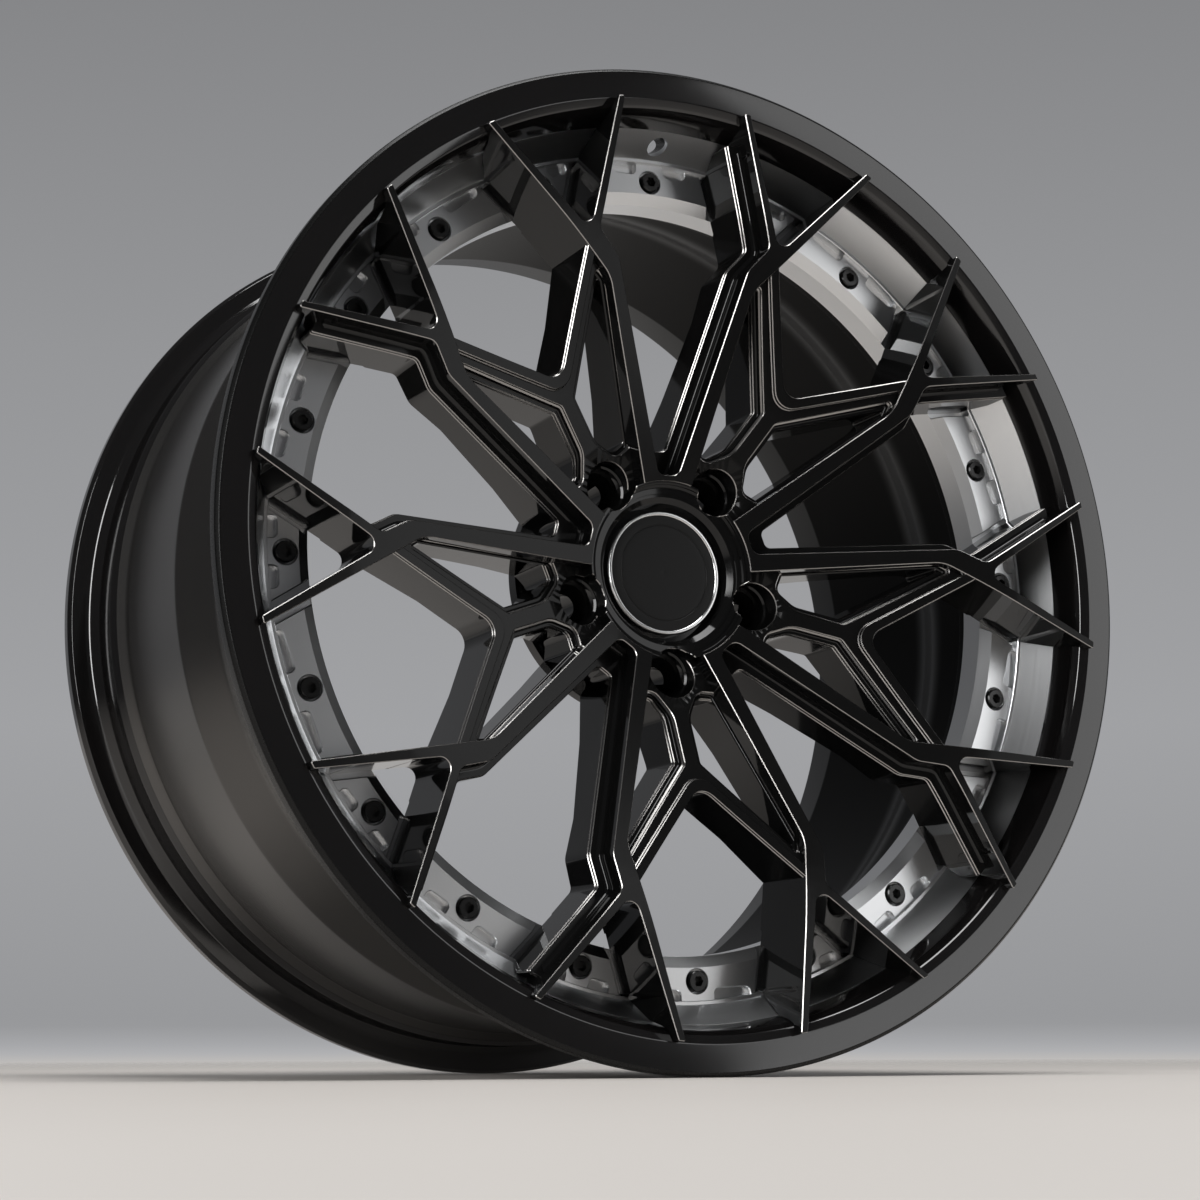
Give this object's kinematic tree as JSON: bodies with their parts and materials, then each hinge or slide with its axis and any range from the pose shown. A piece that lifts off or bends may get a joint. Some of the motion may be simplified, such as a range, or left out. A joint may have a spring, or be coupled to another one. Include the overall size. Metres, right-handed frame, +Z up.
{
  "type": "forged wheel",
  "caption": "Multi-piece forged road wheel with a concave forked-spoke centre, bolted mounting ring, outer lip, drop-centre barrel and plain push-in cap.",
  "frame": {"origin": "centre of the hub's mounting face, on the axle line", "axes": "+Y along the axle toward the vehicle, so the styled face looks toward -Y; +Z up"},
  "size_m": [0.5474, 0.2988, 0.5474],
  "materials": {
    "gloss_black": "gloss black lacquer over milled aluminium with bright edges",
    "brushed_silver": "fine turned silver",
    "satin_black": "satin black",
    "satin_dark": "satin dark grey",
    "black_steel": "black oxide",
    "black_plastic": "matt black",
    "bright_trim": "polished",
    "cap_black": "satin black",
    "spring_steel": "plain"
  },
  "bodies": {
    "root": {"spoke_centre": "gloss_black", "mounting_ring": "brushed_silver", "outer_lip": "satin_black", "inner_barrel": "satin_dark", "assembly_bolts": "black_steel", "cap_body": "black_plastic", "cap_trim_ring": "bright_trim", "cap_disc": "cap_black", "cap_spring_ring": "spring_steel"}
  },
  "joints": []
}
